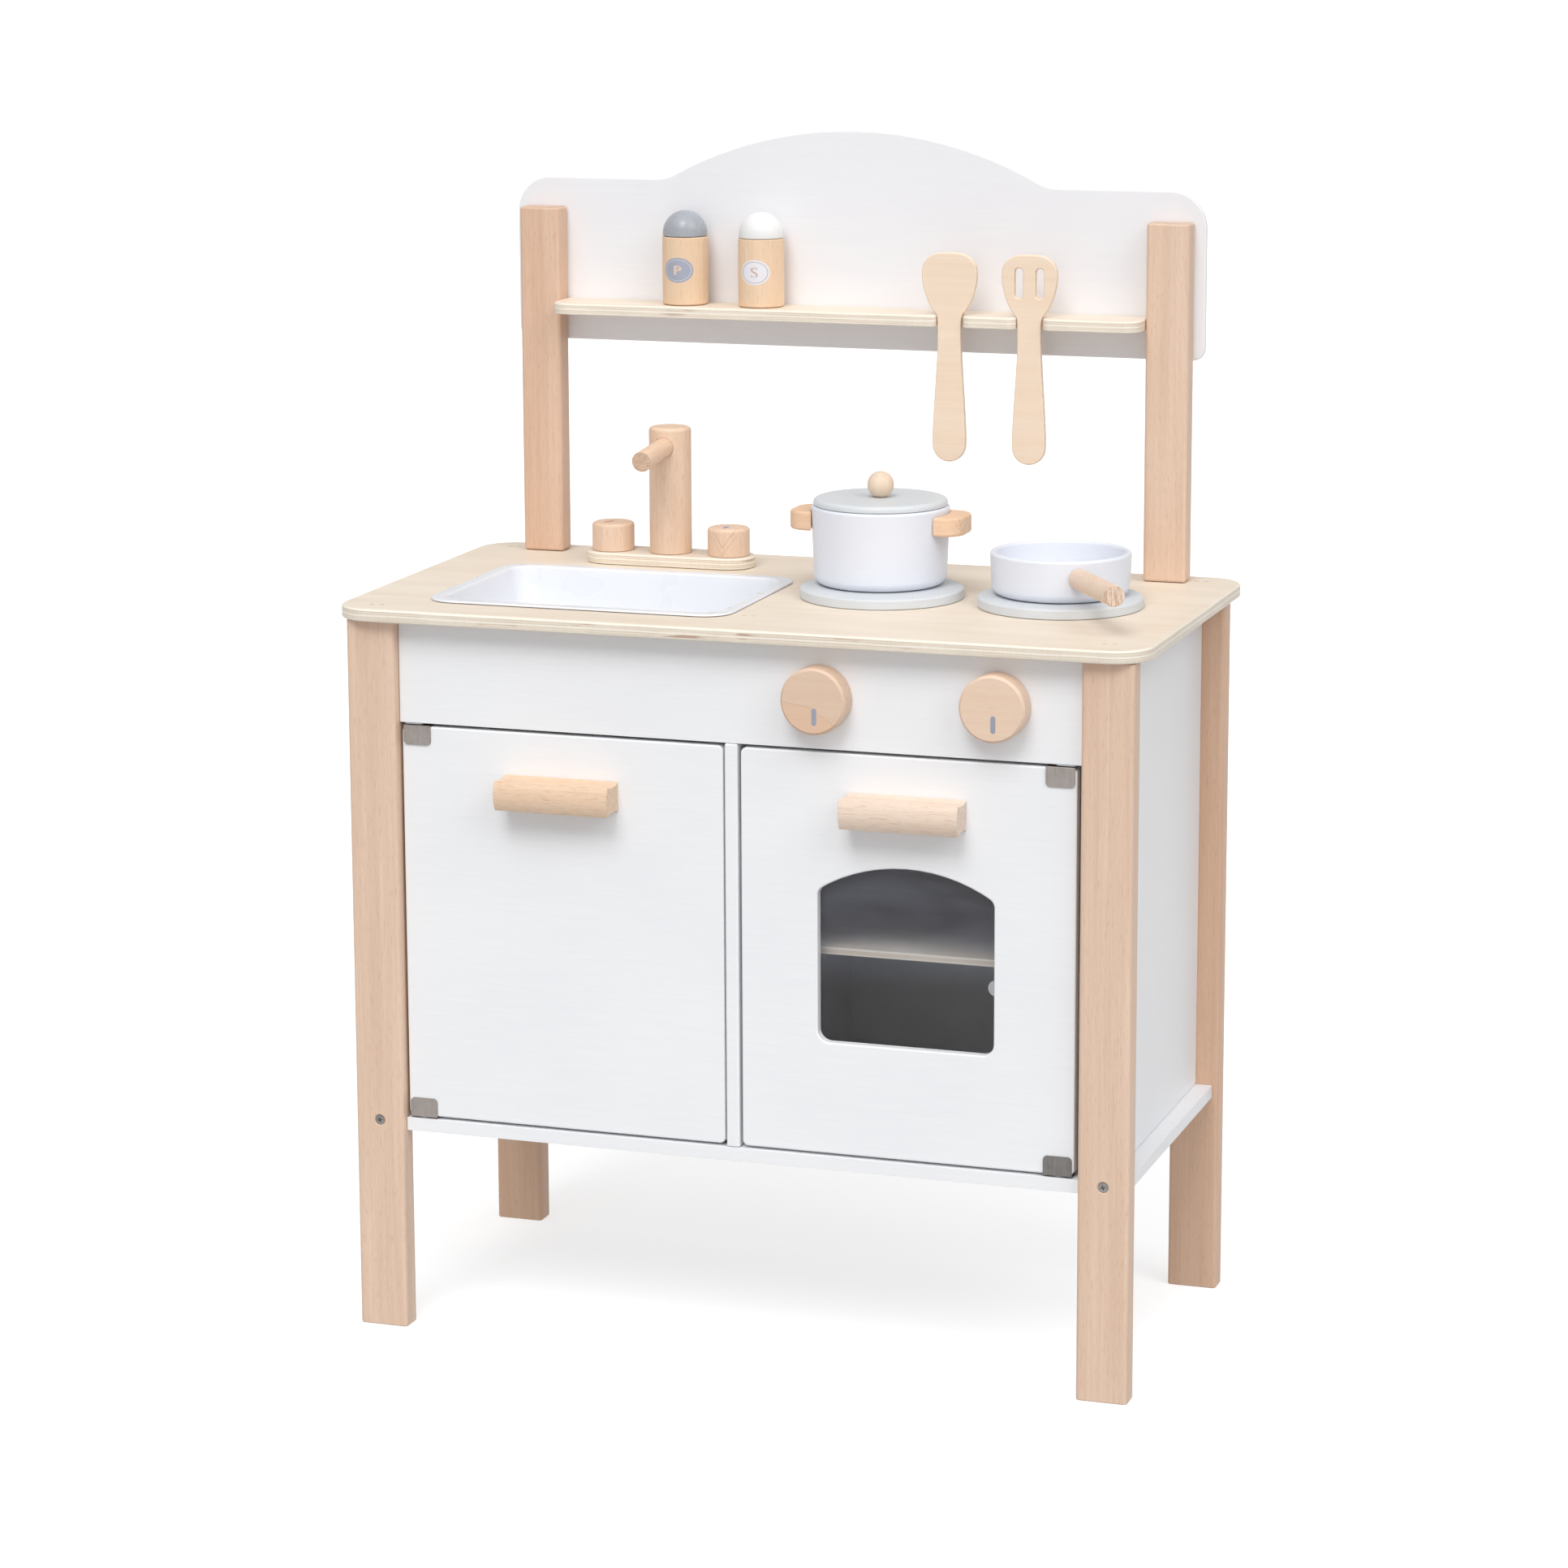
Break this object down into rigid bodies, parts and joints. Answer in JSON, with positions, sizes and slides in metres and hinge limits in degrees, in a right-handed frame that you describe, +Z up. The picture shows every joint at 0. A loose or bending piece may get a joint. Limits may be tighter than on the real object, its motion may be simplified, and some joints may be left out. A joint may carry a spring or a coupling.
{
  "type": "toy kitchen",
  "caption": "Wooden play kitchen with two hinged cupboard doors, oven window, lift-out sink, swivelling tap, hob, pot, pan, shakers and utensils on an arched backboard shelf.",
  "frame": {"origin": "on the floor, under the middle of the kitchen's width and depth", "axes": "+Z up, +X to the right seen from the front, +Y to the rear"},
  "size_m": [0.557, 0.297, 0.801],
  "materials": {
    "beech": "planed solid beech, clear lacquer",
    "pale_wood": "pale turned and planed beech, clear lacquer",
    "birch_ply": "birch plywood, clear lacquer",
    "white_paint": "white paint over plywood",
    "white_plastic": "white moulded plastic",
    "grey_paint": "pale grey paint over plywood",
    "slate_paint": "slate grey paint over wood",
    "steel": "plated sheet steel",
    "smoked_acrylic": "smoked acrylic"
  },
  "bodies": {
    "cabinet": {"leg_front_left": "beech", "leg_front_right": "beech", "leg_rear_left": "beech", "leg_rear_right": "beech", "post_left": "beech", "post_right": "beech", "leg_screw_left": "steel", "leg_screw_right": "steel", "side_panel_left": "white_paint", "side_panel_right": "white_paint", "bottom_board": "white_paint", "cabinet_back": "white_paint", "centre_divider": "white_paint", "fascia_panel": "white_paint", "backboard": "white_paint", "countertop": "birch_ply", "oven_shelf": "birch_ply", "utensil_shelf": "birch_ply", "faucet_base": "birch_ply", "door_catch_left": "white_plastic", "door_catch_right": "white_plastic", "pivot_plate_left_upper": "white_plastic", "pivot_plate_left_lower": "white_plastic", "pivot_plate_right_upper": "white_plastic", "pivot_plate_right_lower": "white_plastic", "hob_disc_left": "grey_paint", "hob_disc_right": "grey_paint"},
    "door_left_leaf": {"door_left": "white_paint", "door_left_handle": "pale_wood", "door_left_clip_upper": "steel", "door_left_clip_lower": "steel", "strike_plate_left": "steel"},
    "door_right_leaf": {"door_right": "white_paint", "door_right_handle": "pale_wood", "door_right_clip_upper": "steel", "door_right_clip_lower": "steel", "strike_plate_right": "steel", "oven_window": "smoked_acrylic"},
    "left_control": {"control_knob_left": "pale_wood", "knob_shaft_left": "beech"},
    "right_control": {"control_knob_right": "pale_wood", "knob_shaft_right": "beech"},
    "tap_swivel": {"faucet_post": "beech", "faucet_spout": "pale_wood"},
    "hot_tap": {"tap_knob_hot": "beech"},
    "cold_tap": {"tap_knob_cold": "beech"},
    "sink": {"sink_basin": "white_plastic"},
    "pot": {"pot_body": "white_paint", "pot_handle_left": "pale_wood", "pot_handle_right": "pale_wood"},
    "lid": {"pot_lid": "grey_paint", "pot_lid_knob": "pale_wood"},
    "pan": {"pan_body": "white_paint", "pan_handle": "pale_wood"},
    "pepper_shaker": {"pepper_body": "pale_wood", "pepper_cap": "slate_paint"},
    "salt_shaker": {"salt_body": "pale_wood", "salt_cap": "white_paint"},
    "spatula_hung": {"spatula": "pale_wood"},
    "turner_hung": {"slotted_turner": "pale_wood"}
  },
  "joints": [
    {"name": "door_left_hinge", "type": "hinge", "parent": "cabinet", "child": "door_left_leaf", "pos_m": [-0.2233, -0.122, 0.285], "axis": [0, 0, -1], "range_deg": [0, 105]},
    {"name": "door_right_hinge", "type": "hinge", "parent": "cabinet", "child": "door_right_leaf", "pos_m": [0.2209, -0.122, 0.285], "axis": [0, 0, 1], "range_deg": [0, 105]},
    {"name": "control_knob_left_turn", "type": "hinge", "parent": "cabinet", "child": "left_control", "pos_m": [0.0595, -0.1268, 0.4552], "axis": [0, -1, 0], "continuous": true},
    {"name": "control_knob_right_turn", "type": "hinge", "parent": "cabinet", "child": "right_control", "pos_m": [0.1793, -0.1268, 0.4573], "axis": [0, -1, 0], "continuous": true},
    {"name": "faucet_swivel", "type": "hinge", "parent": "cabinet", "child": "tap_swivel", "pos_m": [-0.1213, 0.091, 0.5081], "axis": [0, 0, 1], "continuous": true},
    {"name": "hot_tap_turn", "type": "hinge", "parent": "cabinet", "child": "hot_tap", "pos_m": [-0.1642, 0.091, 0.5081], "axis": [0, 0, 1], "continuous": true},
    {"name": "cold_tap_turn", "type": "hinge", "parent": "cabinet", "child": "cold_tap", "pos_m": [-0.0784, 0.091, 0.5081], "axis": [0, 0, 1], "continuous": true},
    {"name": "sink_lift", "type": "slide", "parent": "cabinet", "child": "sink", "axis": [0, 0, 1], "range_m": [0, 0.055]},
    {"name": "pot_lift", "type": "slide", "parent": "cabinet", "child": "pot", "axis": [0, 0, 1], "range_m": [0, 0.06]},
    {"name": "lid_lift", "type": "slide", "parent": "pot", "child": "lid", "axis": [0, 0, 1], "range_m": [0, 0.05]},
    {"name": "pan_lift", "type": "slide", "parent": "cabinet", "child": "pan", "axis": [0, 0, 1], "range_m": [0, 0.06]},
    {"name": "pepper_lift", "type": "slide", "parent": "cabinet", "child": "pepper_shaker", "axis": [0, 0, 1], "range_m": [0, 0.05]},
    {"name": "salt_lift", "type": "slide", "parent": "cabinet", "child": "salt_shaker", "axis": [0, 0, 1], "range_m": [0, 0.05]},
    {"name": "spatula_draw", "type": "slide", "parent": "cabinet", "child": "spatula_hung", "axis": [0, -1, 0], "range_m": [0, 0.03]},
    {"name": "turner_draw", "type": "slide", "parent": "cabinet", "child": "turner_hung", "axis": [0, -1, 0], "range_m": [0, 0.03]}
  ]
}
